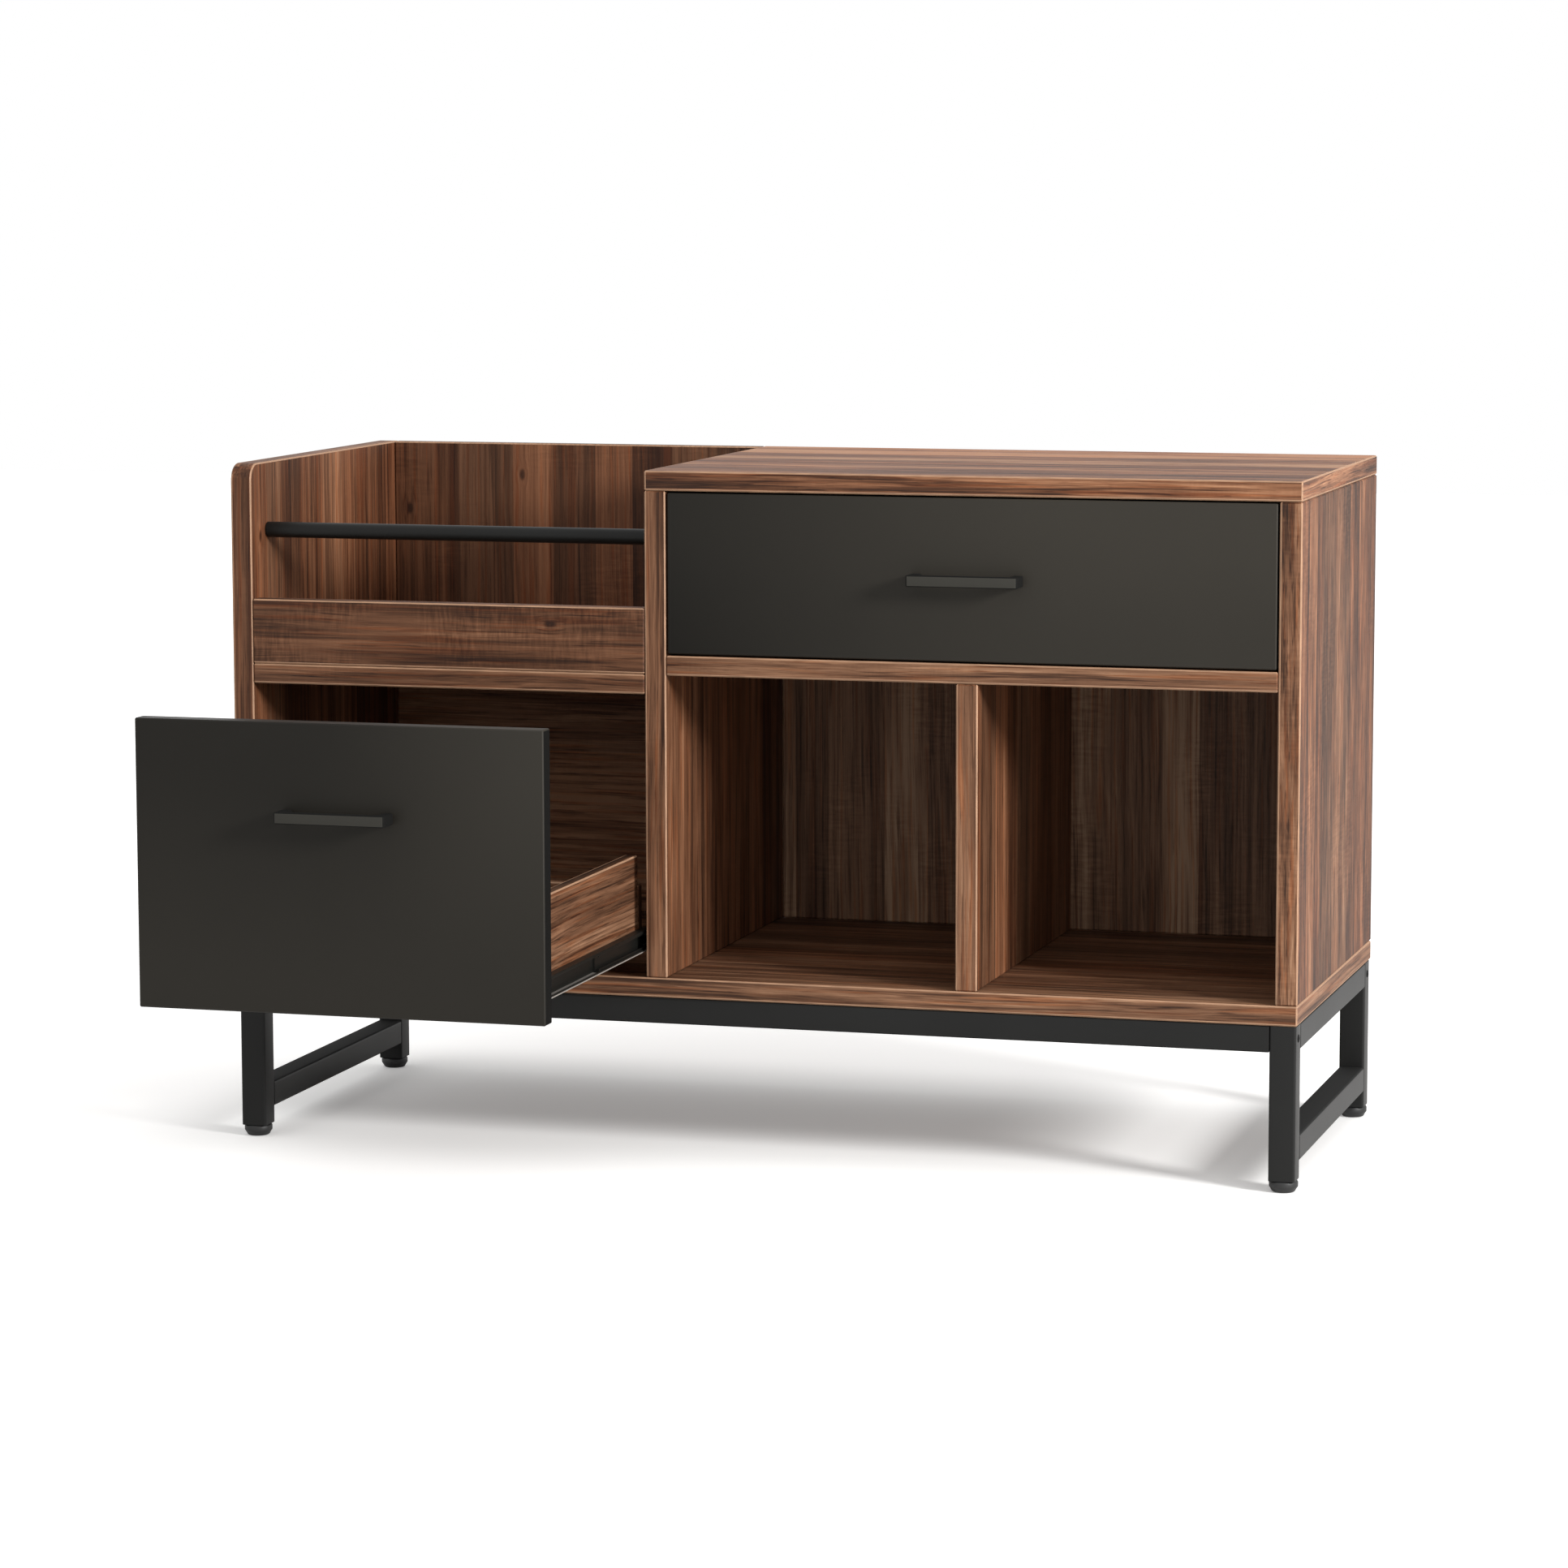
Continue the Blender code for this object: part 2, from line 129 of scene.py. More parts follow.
# Colours, linear
WHITE = (1.0, 1.0, 1.0)
PALE_EDGE = (0.440, 0.255, 0.155)
LACQUER = (0.0225, 0.0200, 0.0161)
POWDER_COAT = (0.012, 0.012, 0.0115)
RAIL_BLACK = (0.005, 0.005, 0.0045)
HANDLE_BLACK = (0.038, 0.036, 0.030)
SLIDE_BLACK = (0.010, 0.010, 0.0085)
# Painted highlight along the slides' lower flanges
SLIDE_HIGHLIGHT = (0.400, 0.365, 0.330)
FOOT_BLACK = (0.014, 0.014, 0.014)
BOLT_BLACK = (0.006, 0.006, 0.006)
SCREW_ZINC = (0.420, 0.410, 0.390)

# Walnut, from its dark lines to its lightest wood, and the casts of redder, greyer and rusty wood
WALNUT_RAMP = (
    (0.00, (0.026, 0.0094, 0.0041)),
    (0.25, (0.070, 0.0270, 0.0116)),
    (0.50, (0.155, 0.0645, 0.0300)),
    (0.75, (0.275, 0.1250, 0.0610)),
    (1.00, (0.450, 0.2350, 0.1250)),
)
REDDER = (1.09, 0.97, 0.90, 1.0)
GREYER = (0.90, 1.12, 1.34, 1.0)
RUSTY = (0.98, 0.76, 0.60, 1.0)

# Layers of the walnut's figure: across the face, through the board and along the grain
WANDER = Layer((5.0, 5.0, 1.6), 2.0)
RIPPLE = Layer((26.0, 26.0, 9.0), 1.0)
BROAD = Layer((48.0, 48.0, 1.3), 3.0, 0.60)
FINE = Layer((200.0, 200.0, 3.4), 3.0, 0.62)
FIBRE = Layer((900.0, 900.0, 20.0), 2.0)
LINES = Layer((330.0, 330.0, 3.2), 1.0, rise=(0.56, 0.70))
DASHES = Layer((420.0, 420.0, 14.0), 1.0, rise=(0.60, 0.74))
RUST = Layer((260.0, 260.0, 4.5), 2.0, 0.60, rise=(0.50, 0.66))
PORES = Layer((1500.0, 1500.0, 75.0), 1.0, rise=(0.60, 0.72))
CUTS = Layer((60.0, 60.0, 360.0), 2.0)
CUT_PLACES = Layer((13.0, 13.0, 8.0), 1.0, rise=(0.42, 0.66))
EDGE_STREAKS = Layer((400.0, 400.0, 45.0), 2.0, rise=(0.30, 0.70))

WANDER_REACH = 0.016  # how far the fibres wander
RIPPLE_REACH = 0.0026  # and ripple
STAVES_PER_METRE = 22.0
STAVE_SHIFT = 3.0  # each stave's figure is shifted by up to this
CAST_SPREAD = 3.0  # how far the casts of the staves differ, over how far their tones do
CAST_RISE = (-0.50, 1.50)  # from redder to greyer
SEED_STEP = (0.731, 1.137, 1.713)  # how far one step of the seed moves the figure

NO_KNOT = (50.0, 50.0, 50.0)  # far from every board
KNOT_SIZE = 0.0032  # about the radius of a knot across the grain
KNOT_SQUEEZE = 0.50  # distances along the grain count half, so that a knot is twice as long as wide
KNOT_FADE = -0.30  # how fast the fibres straighten away from a knot
KNOT_PUSH = -0.80  # how far they bend round it
KNOT_HEART = (0.30, 1.20)  # its dark heart fades between these distances, in knot sizes

# Edge strips are a little stronger in figure and greyer, and a darker rear face is redder
STRIP_CONTRAST = 0.10
STRIP_GREY = 0.15
REAR_GREY = 4.0

# Width of the pale lines along a board's edges, wider at the left and the bottom, away from the light
PALE_LOW = {"X": 0.0019, "Y": 0.0013, "Z": 0.0019}
PALE_HIGH = 0.0013

# How far a normal reaches along an axis
SQUARE_ON = 0.8  # on a face that looks along the axis
DULL_SHADED_FROM = 0.45  # on a face that is rough with painted shade, its rounded edges included
ARRIS = 0.3  # product for two axes on an eased edge between them

# Layers of paint and steel
CLOUD = Layer((7.0, 7.0, 7.0), 3.0)
LACQUER_SKIN = Layer((1100.0, 1100.0, 1100.0), 2.0, 0.60)
SCREW_GRAIN = Layer((3000.0, 500.0, 3000.0), 2.0)
SLIDE_GRAIN = Layer((2500.0, 30.0, 2500.0), 2.0)
SLIDE_HIGHLIGHT_RISE = (0.0016, 0.0010)  # a painted highlight rises between these heights over a slide's lower edge

# Forms of the metal pieces
SHARP_ANGLE = math.radians(38)  # edges sharper than this aren't shaded smooth
HAIR = 0.0001  # shorter lengths count as none
ROUND_STEPS = 48
RAIL_STEPS = 72
RAIL_EASE = 0.0006
TUBE_WALL = 0.0015
TUBE_CORNER = 0.0024
TUBE_EASE = 0.0004
HANDLE_LEG = 0.009
HANDLE_BAR = 0.008
HANDLE_BEND = 0.0022
HANDLE_EASE = 0.0012
HANDLE_EASED_ANGLE = math.radians(60)  # edges sharper than this are eased

# Feet, with pairs of radius and height up the pad
STUD_RADIUS = 0.0040
STUD_HOLE_RADIUS = 0.0041
STUD_ROOT = 0.0002  # the stud is so much thicker where it leaves the pad
THREAD_PITCH = 0.00125
THREAD_DEPTH = 0.0005
RINGS_PER_TURN = 6
PAD_HEIGHT = 0.0100
PAD_SOLE = [(0.0085, 0.0), (0.0096, 0.0002), (0.0104, 0.0008)]
PAD_RIM = [  # here the radius is given as how far inside the widest one it lies
    (0.0008, 0.0040),
    (0.0002, 0.0046),
    (0.0, 0.0053),
    (0.0, 0.0088),
    (0.0004, 0.0096),
    (0.0012, PAD_HEIGHT),
]

# Heads of bolts and screws, with pairs of radius and height up the head
BOLT_DOME = [(0.0036, -0.0004), (0.0036, 0.0002), (0.0033, 0.0005), (0.0027, 0.00075), (0.0021, 0.00085)]
BOLT_SOCKET_RADIUS = 0.0015
BOLT_SOCKET_DEPTH = 0.0007
SCREW_PAN = [(0.0037, -0.0003), (0.0037, 0.0009), (0.0034, 0.0016), (0.0028, 0.0021), (0.0021, 0.0024)]
SCREW_CROSS_LENGTH = 0.0017  # from the middle
SCREW_CROSS_HALF_WIDTH = 0.00045
SCREW_CROSS_DEPTH = 0.0014
SCREW_INSET = 0.0045  # from the handle's end to the middle of its leg


class Graph:
    """Short-hand for the nodes of one material, node group or world."""

    def __init__(self, tree):
        self.tree = tree

    def add(self, kind, inputs=(), **settings):
        """A new node with its settings, and with each input linked or set."""
        node = self.tree.nodes.new(kind)
        for key, value in settings.items():
            setattr(node, key, value)
        self.fill(node, dict(inputs))
        return node

    def fill(self, node, inputs):
        """Links or sets inputs of a node."""
        for key, value in inputs.items():
            if isinstance(value, bpy.types.NodeSocket):
                self.tree.links.new(value, node.inputs[key])
            else:
                node.inputs[key].default_value = value

    def math(self, operation, *values, clamp=False):
        return self.add("ShaderNodeMath", enumerate(values), operation=operation, use_clamp=clamp).outputs[0]

    def centred(self, value):
        """Noise about 0 instead of 0.5."""
        return self.math("SUBTRACT", value, 0.5)

    def weigh(self, start, layers):
        """A start value plus each layer times its weight."""
        for layer, weight in layers:
            start = self.math("MULTIPLY_ADD", layer, weight, start)
        return start

    def vector(self, operation, *values):
        return self.add("ShaderNodeVectorMath", enumerate(values), operation=operation).outputs[0]

    def length(self, vector):
        return self.add("ShaderNodeVectorMath", {0: vector}, operation="LENGTH").outputs["Value"]

    def dot(self, first, second):
        inputs = {0: first, 1: second}
        return self.add("ShaderNodeVectorMath", inputs, operation="DOT_PRODUCT").outputs["Value"]

    def parts(self, vector):
        return self.add("ShaderNodeSeparateXYZ", {0: vector}).outputs

    def join(self, x, y, z):
        return self.add("ShaderNodeCombineXYZ", {0: x, 1: y, 2: z}).outputs[0]

    def noise(self, place, layer):
        """A layer of noise at a place."""
        stretched = self.vector("MULTIPLY", place, layer.scale)
        inputs = {"Vector": stretched, "Scale": 1.0, "Detail": layer.detail, "Roughness": layer.roughness}
        value = self.add("ShaderNodeTexNoise", inputs).outputs[0]
        return self.ease(value, *layer.rise) if layer.rise else value

    def ease(self, value, low, high, start=0.0, end=1.0):
        """Smooth step of a value from start to end between low and high."""
        inputs = {"Value": value, "From Min": low, "From Max": high, "To Min": start, "To Max": end}
        return self.add("ShaderNodeMapRange", inputs, interpolation_type="SMOOTHSTEP").outputs[0]

    # A Mix node has inputs and outputs for each type of data under the same names, so these go by number
    def mix(self, factor, first, second, blend="MIX"):
        inputs = {0: factor, 6: first, 7: second}
        return self.add("ShaderNodeMix", inputs, data_type="RGBA", blend_type=blend).outputs[2]

    def mix_vector(self, factor, first, second):
        inputs = {0: factor, 4: first, 5: second}
        return self.add("ShaderNodeMix", inputs, data_type="VECTOR").outputs[1]

    def ramp(self, value, stops):
        node = self.add("ShaderNodeValToRGB", {"Fac": value})
        elements = node.color_ramp.elements
        while len(elements) < len(stops):
            elements.new(0.5)
        for element, (place, colour) in zip(elements, stops):
            element.position = place
            element.color = (*colour, 1.0)
        return node.outputs[0]

    def bump(self, height, strength, distance):
        inputs = {"Height": height, "Strength": strength, "Distance": distance}
        return self.add("ShaderNodeBump", inputs).outputs[0]

    def spot(self):
        """Place on the piece, in metres."""
        return self.add("ShaderNodeTexCoord").outputs["Object"]

    def normal(self):
        return self.add("ShaderNodeNewGeometry").outputs["True Normal"]

    def facing(self, normal):
        """How far a normal reaches along each axis."""
        return dict(zip(AXES, self.parts(self.vector("ABSOLUTE", normal))))

    def shown(self):
        """1 for rays that show a white background: from the camera, in gloss or through glass."""
        path = self.add("ShaderNodeLightPath").outputs
        indirect = self.math("MAXIMUM", path["Is Glossy Ray"], path["Is Transmission Ray"])
        return self.math("MAXIMUM", path["Is Camera Ray"], indirect)


def shade(colour, level=1.0):
    """A colour with its alpha, made lighter or darker."""
    return (*[level * channel for channel in colour], 1.0)


def new_material(name):
    """A new material, its graph and its Principled shader."""
    material = bpy.data.materials.new(name)
    material.use_nodes = True
    return material, Graph(material.node_tree), material.node_tree.nodes["Principled BSDF"]


def empty_graph(owner):
    """The graph of a material or world, without its first nodes."""
    owner.use_nodes = True
    owner.node_tree.nodes.clear()
    return Graph(owner.node_tree)


def bend_fibres(g, place, knots):
    """How far the fibres stand aside, and the dark hearts of the knots that they bend round."""
    wander = g.centred(g.noise(place, WANDER))
    ripple = g.centred(g.noise(place, RIPPLE))
    aside = g.math("MULTIPLY_ADD", ripple, RIPPLE_REACH, g.math("MULTIPLY", wander, WANDER_REACH))
    heart = 0.0
    for knot in knots:
        away = g.vector("MULTIPLY", g.vector("SUBTRACT", place, knot), (1.0, 0.0, KNOT_SQUEEZE))
        reach = g.math("DIVIDE", g.length(away), KNOT_SIZE)
        swell = g.math("EXPONENT", g.math("MULTIPLY", g.math("MULTIPLY", reach, reach), KNOT_FADE))
        push = g.math("MULTIPLY", g.parts(away)[0], swell)
        aside = g.math("MULTIPLY_ADD", push, KNOT_PUSH, aside)
        heart = g.math("ADD", g.ease(reach, *KNOT_HEART, 1.0, 0.0), heart)
    return aside, heart


def walnut_group():
    """Walnut figure: x across the face, y through the board, z along the grain, in metres."""
    tree = bpy.data.node_groups.new("walnut_figure", "ShaderNodeTree")
    numbers = ("Tone", "Staves", "Contrast", "Run", "Chatter", "Hue")
    sockets = {"Vector": "Vector", **dict.fromkeys(numbers, "Float"), "Knot A": "Vector", "Knot B": "Vector"}
    for name, kind in sockets.items():
        tree.interface.new_socket(name, in_out="INPUT", socket_type="NodeSocket" + kind)
    for name, kind in (("Color", "Color"), ("Height", "Float")):
        tree.interface.new_socket(name, in_out="OUTPUT", socket_type="NodeSocket" + kind)
    g = Graph(tree)
    given = g.add("NodeGroupInput").outputs[:len(sockets)]
    place, tone, staves, contrast, run, chatter, hue, *knots = given

    # Each stave has its own tone and cast, and its own part of the figure
    aside, heart = bend_fibres(g, place, knots)
    bent = g.vector("ADD", place, g.join(aside, aside, 0.0))
    bent = g.vector("MULTIPLY", bent, g.join(1.0, 1.0, run))
    inputs = {"W": g.parts(place)[0], "Scale": STAVES_PER_METRE}
    stave = g.add("ShaderNodeTexVoronoi", inputs, voronoi_dimensions="1D").outputs["Color"]
    stave_tone, stave_hue = g.parts(stave)[:2]
    bent = g.vector("ADD", bent, g.join(0.0, g.math("MULTIPLY", stave_tone, STAVE_SHIFT), stave_hue))

    # Streaks, fibres, dark lines, dashes, pores, and marks across the grain
    broad, fine, fibre = (g.noise(bent, layer) for layer in (BROAD, FINE, FIBRE))
    lines, dashes = (g.noise(bent, layer) for layer in (LINES, DASHES))
    pores = g.noise(place, PORES)
    cuts = g.centred(g.noise(place, CUTS))
    marks = g.math("MULTIPLY", g.math("MULTIPLY", cuts, g.noise(place, CUT_PLACES)), chatter)
    figure = g.weigh(0.0, ((g.centred(broad), 1.10), (g.centred(fine), 0.95), (g.centred(fibre), 0.30)))
    figure = g.weigh(figure, ((lines, -0.24), (dashes, -0.20), (pores, -0.08)))
    value = g.math("MULTIPLY_ADD", g.centred(stave_tone), staves, tone)
    value = g.weigh(value, ((figure, contrast), (marks, 0.55), (heart, -0.40)))

    # Colour, with rusty streaks through all staves
    spread = g.math("MULTIPLY", staves, CAST_SPREAD, clamp=True)
    grey = g.math("MULTIPLY_ADD", g.centred(stave_hue), spread, g.math("ADD", hue, 0.5))
    cast = g.mix(g.ease(grey, *CAST_RISE), REDDER, GREYER)
    colour = g.mix(1.0, g.ramp(value, WALNUT_RAMP), cast, "MULTIPLY")
    colour = g.mix(g.noise(bent, RUST), colour, g.mix(1.0, colour, RUSTY, "MULTIPLY"))
    height = g.weigh(marks, ((fibre, 0.5), (pores, -0.6)))
    g.add("NodeGroupOutput", {"Color": colour, "Height": height})
    return tree


def pale_lines(g, node, pairs, spot, facing):
    """1 on the pale lines along a board's edges."""
    low, high = (dict(zip(AXES, corner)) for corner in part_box(node))
    near = {}
    for axis in AXES:
        at_low = g.math("LESS_THAN", spot[axis], low[axis] + PALE_LOW[axis])
        at_high = g.math("GREATER_THAN", spot[axis], high[axis] - PALE_HIGH)
        near[axis] = g.math("MAXIMUM", at_low, at_high)
    lines = 0.0
    for one, other in pairs:
        arris = g.math("GREATER_THAN", g.math("MULTIPLY", facing[one], facing[other]), ARRIS)
        line = g.math("MAXIMUM", arris, g.math("MULTIPLY", near[one], near[other]))
        lines = g.math("MAXIMUM", line, lines)
    return lines


def walnut(node, figure, board, knots):
    """Walnut for one board, with lengthwise grain on its ends too, and pale lines along its edges."""
    material, g, shader = new_material(f"{node}_walnut")
    through = (set(AXES) - {board.grain, board.across}).pop()
    spot = dict(zip(AXES, g.parts(g.spot())))
    normal = g.normal()
    facing = g.facing(normal)
    is_rear = g.math("GREATER_THAN", g.parts(normal)[1], SQUARE_ON)
    is_end = g.math("GREATER_THAN", facing[board.grain], SQUARE_ON)
    is_strip = g.math("MAXIMUM", is_end, g.math("GREATER_THAN", facing[board.across], SQUARE_ON))

    offset = Vector([board.seed * step for step in SEED_STEP])
    on_face = g.join(spot[board.across], spot[through], spot[board.grain])
    on_end = g.join(spot[through], spot[board.grain], spot[board.across])
    place = g.vector("ADD", g.mix_vector(is_end, on_face, on_end), offset)
    inputs = {
        "Vector": place,
        "Tone": g.weigh(board.tone, ((is_strip, board.strip), (is_end, board.end), (is_rear, board.rear))),
        "Staves": g.math("MULTIPLY_ADD", is_strip, -board.staves, board.staves),
        "Contrast": g.math("MULTIPLY_ADD", is_strip, STRIP_CONTRAST * board.contrast, board.contrast),
        "Run": board.run,
        "Chatter": board.chatter,
        "Hue": g.weigh(board.hue, ((is_rear, REAR_GREY * board.rear), (is_strip, STRIP_GREY))),
    }
    for socket, knot in zip(("Knot A", "Knot B"), (*knots, NO_KNOT, NO_KNOT)):
        spots = dict(zip(AXES, knot))
        inputs[socket] = Vector((spots[board.across], spots[through], spots[board.grain])) + offset
    colour, height = g.add("ShaderNodeGroup", inputs, node_tree=figure).outputs

    light = g.mix(g.noise(place, EDGE_STREAKS), shade(PALE_EDGE, 0.72), shade(PALE_EDGE))
    g.fill(shader, {
        "Base Color": g.mix(pale_lines(g, node, board.pale, spot, facing), colour, light),
        "Roughness": g.math("MULTIPLY_ADD", height, -0.10, 0.58),
        "Normal": g.bump(height, 0.35, 0.0004),
        "Specular IOR Level": 0.24,
    })
    return material


def lacquer(node, painted_sheen):
    """Charcoal lacquer of one front, with painted light that grows towards its right end, and rough with
    painted shade on its cut ends.
    """
    material, g, shader = new_material(f"{node}_lacquer")
    low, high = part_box(node)
    spot = g.spot()
    x, _, z = g.parts(spot)
    # Painted shade: the cut ends are darkened, as well as rough
    is_shaded_end = g.math("GREATER_THAN", g.math("ABSOLUTE", g.parts(g.normal())[0]), SQUARE_ON)
    # Painted light: the lacquer grows lighter towards the right end, between the painted sheen's levels
    # along its lower and upper edges
    start, stop = (low.x + share * (high.x - low.x) for share in (painted_sheen.start, painted_sheen.stop))
    edges = [g.ease(x, start, stop, *levels) for levels in (painted_sheen.lower, painted_sheen.upper)]
    cloud = g.noise(spot, CLOUD)
    level = g.math("MULTIPLY_ADD", g.centred(cloud), 0.23, g.ease(z, low.z, high.z, *edges))
    colour = g.mix(g.math("MULTIPLY", level, 0.5), shade(LACQUER, 0.0), shade(LACQUER, 2.0))
    rough = g.math("MULTIPLY_ADD", cloud, 0.08, 0.38)
    g.fill(shader, {
        "Base Color": g.mix(is_shaded_end, colour, shade(LACQUER, 0.12)),
        "Roughness": g.math("MAXIMUM", rough, g.math("MULTIPLY", is_shaded_end, 0.90)),
        "Normal": g.bump(g.noise(spot, LACQUER_SKIN), 0.5, 0.00002),
        "Specular IOR Level": 0.15,
    })
    return material


def coated(name, colour, roughness, grain_size, depth, gloss=0.5, dull_shaded_axes="", painted_shade=1.0):
    """Paint, powder coat or moulded plastic with a fine skin.

    Faces that look along the given axes are rough, and darkened by painted shade in the given share.
    """
    material, g, shader = new_material(name)
    spot = g.spot()
    skin = g.noise(spot, Layer((1.0 / grain_size,) * 3, 2.0, 0.60))
    cloud = g.noise(spot, CLOUD)
    paint = g.mix(g.ease(cloud, 0.3, 0.7), shade(colour, 0.92), shade(colour, 1.08))
    rough = g.math("MULTIPLY_ADD", cloud, 0.08, roughness - 0.04)
    facing = g.facing(g.normal())
    # Painted shade: faces that look along these axes are darkened, as well as roughened
    for axis in dull_shaded_axes:
        is_dull_shaded = g.math("GREATER_THAN", facing[axis], DULL_SHADED_FROM)
        paint = g.mix(g.math("MULTIPLY", is_dull_shaded, painted_shade), paint, shade(colour, 0.10))
        rough = g.math("MAXIMUM", rough, g.math("MULTIPLY", is_dull_shaded, 0.85))
    g.fill(shader, {
        "Base Color": paint,
        "Roughness": rough,
        "Normal": g.bump(skin, 0.5, depth),
        "Specular IOR Level": gloss,
    })
    return material


def zinc_plated(name, colour, roughness):
    """Zinc-plated steel with a faint drawn grain."""
    material, g, shader = new_material(name)
    drawn = g.noise(g.spot(), SCREW_GRAIN)
    g.fill(shader, {
        "Base Color": g.mix(drawn, shade(colour, 0.85), shade(colour, 1.15)),
        "Roughness": g.math("MULTIPLY_ADD", drawn, 0.15, roughness - 0.07),
        "Metallic": 1.0,
    })
    return material


def slide_steel(name, low_z):
    """Black-plated slide, with a painted highlight along its lower flange."""
    material, g, shader = new_material(name)
    spot = g.spot()
    drawn = g.noise(spot, SLIDE_GRAIN)
    lit_flange = g.ease(g.parts(spot)[2], *[low_z + height for height in SLIDE_HIGHLIGHT_RISE])
    painted_highlight = g.math("MULTIPLY", lit_flange, g.ease(drawn, 0.2, 0.5, 0.6, 1.0))
    g.fill(shader, {
        "Base Color": g.mix(painted_highlight, shade(SLIDE_BLACK), shade(SLIDE_HIGHLIGHT)),
        "Roughness": g.math("MULTIPLY_ADD", drawn, 0.12, 0.40),
        "Metallic": 0.30,
        "Specular IOR Level": 0.35,
    })
    return material


def dress(node, material):
    """Gives a CAD node its finish."""
    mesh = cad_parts[node].data
    mesh.materials.clear()
    mesh.materials.append(material)


def dress_boards():
    """Walnut for every board, seeded so that its planks fall much as in the photograph."""
    figure = walnut_group()
    upright, level, rim, every = ("XY",), ("YZ",), ("XZ",), ("XY", "YZ", "XZ")
    boards = {
        "left_side_panel": Board("Z", "Y", 12.45, 0.38, staves=0.40, run=1.0, hue=-0.25, strip=0.06,
                                 end=0.12, pale=("XY", "XZ")),
        "middle_divider": Board("Z", "Y", 2, 0.49, staves=0.36, hue=-0.1, pale=upright),
        "right_side_panel": Board("Z", "Y", 25.45, 0.43, staves=0.27, contrast=1.20, run=3.4, chatter=0.6,
                                  strip=0.15, pale=upright),
        "cubby_divider": Board("Z", "Y", 4, 0.54, staves=0.30, pale=upright),
        "top_panel": Board("X", "Y", 24.86, 0.77, staves=0.65, contrast=1.50, hue=-0.4, strip=-0.195,
                           end=-0.13, pale=every),
        "bottom_panel": Board("X", "Y", 6, 0.62, staves=0.24, contrast=1.20, hue=0.1, end=-0.12, pale=every),
        "tray_shelf": Board("X", "Y", 7, 0.54, hue=-0.1, strip=-0.05, pale=level),
        "tray_lip": Board("X", "Z", 25.05, 0.37, staves=0.04, contrast=0.90, chatter=1.0, hue=-0.1,
                          pale=level),
        "drawer_shelf": Board("X", "Y", 9, 0.71, staves=0.24, contrast=1.20, hue=0.1, strip=-0.05,
                              pale=level),
        "tray_back_panel": Board("Z", "X", 30.1, 0.34, staves=0.50, contrast=0.65, run=1.0, chatter=0.6,
                                 hue=-0.05, pale=level),
        "file_back_panel": Board("X", "Z", 30.65, 0.82, staves=0.36, contrast=1.20, rear=-0.22),
        "right_back_panel": Board("Z", "X", 40.7, 0.69, staves=0.48, run=1.0, chatter=0.8, hue=1.3,
                                  rear=-0.27),
        "file_drawer_side_left": Board("Y", "Z", 12, 0.50, run=2.0, hue=0.5, pale=rim),
        "file_drawer_side_right": Board("Y", "Z", 13, 0.47, contrast=1.2, run=1.2, hue=0.4, pale=rim),
        "file_drawer_back": Board("X", "Z", 14, 0.50, pale=level),
        "file_drawer_bottom": Board("X", "Y", 15, 0.50),
        "top_drawer_side_left": Board("Y", "Z", 16, 0.52, run=2.0, hue=0.5, pale=rim),
        "top_drawer_side_right": Board("Y", "Z", 17, 0.52, run=2.0, hue=0.5, pale=rim),
        "top_drawer_back": Board("X", "Z", 18, 0.50, pale=level),
        "top_drawer_bottom": Board("X", "Y", 19, 0.50),
    }
    knots = {
        "tray_lip": [(-0.190, FRONT_Y, 0.489)],
        "tray_back_panel": [(-0.464, FRONT_Y + 0.378, 0.564), (-0.346, FRONT_Y + 0.378, 0.599)],
        "left_side_panel": [(-0.480, FRONT_Y + 0.022, 0.562)],
    }
    for node, board in boards.items():
        dress(node, walnut(node, figure, board, knots.get(node, [])))


def dress_drawers():
    """Lacquered fronts with painted light, and plated slides with a painted highlight along their lower
    flange.
    """
    # How the painted light on each front grows from its left end to its right end
    painted_sheens = {
        "file": PaintedSheen(0.35, 1.20, upper=(0.60, 1.75), lower=(1.00, 1.00)),
        "top": PaintedSheen(-0.25, 0.70, upper=(0.45, 1.60), lower=(0.25, 1.25)),
    }
    for drawer, painted_sheen in painted_sheens.items():
        dress(f"{drawer}_drawer_front", lacquer(f"{drawer}_drawer_front", painted_sheen))
        steel = slide_steel(f"{drawer}_slide_steel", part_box(f"{drawer}_slide_drawer_left")[0].z)
        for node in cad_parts:
            if node.startswith(f"{drawer}_slide_"):
                dress(node, steel)


def add_piece(name, bm, material, body, replaces=()):
    """A new piece from a finished bmesh, riding on a body."""
    bmesh.ops.recalc_face_normals(bm, faces=bm.faces)
    mesh = bpy.data.meshes.new(name)
    bm.to_mesh(mesh)
    bm.free()
    mesh.shade_smooth()
    mesh.set_sharp_from_angle(angle=SHARP_ANGLE)
    mesh.materials.append(material)
    obj = bpy.data.objects.new(name, mesh)
    bpy.context.collection.objects.link(obj)
    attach(obj, body)
    if replaces:
        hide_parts(*replaces)


def skin_loops(loops, closed=False):
    """Quads between loops of equally many points, either closed into a ring or capped at both ends."""
    bm = bmesh.new()
    rows = [[bm.verts.new(point) for point in loop] for loop in loops]
    following = rows[1:] + rows[:1] if closed else rows[1:]
    for low, high in zip(rows, following):
        for i in range(len(low)):
            j = (i + 1) % len(low)
            bm.faces.new((low[i], low[j], high[j], high[i]))
    if not closed:
        bm.faces.new(rows[0])
        bm.faces.new(rows[-1])
    return bm


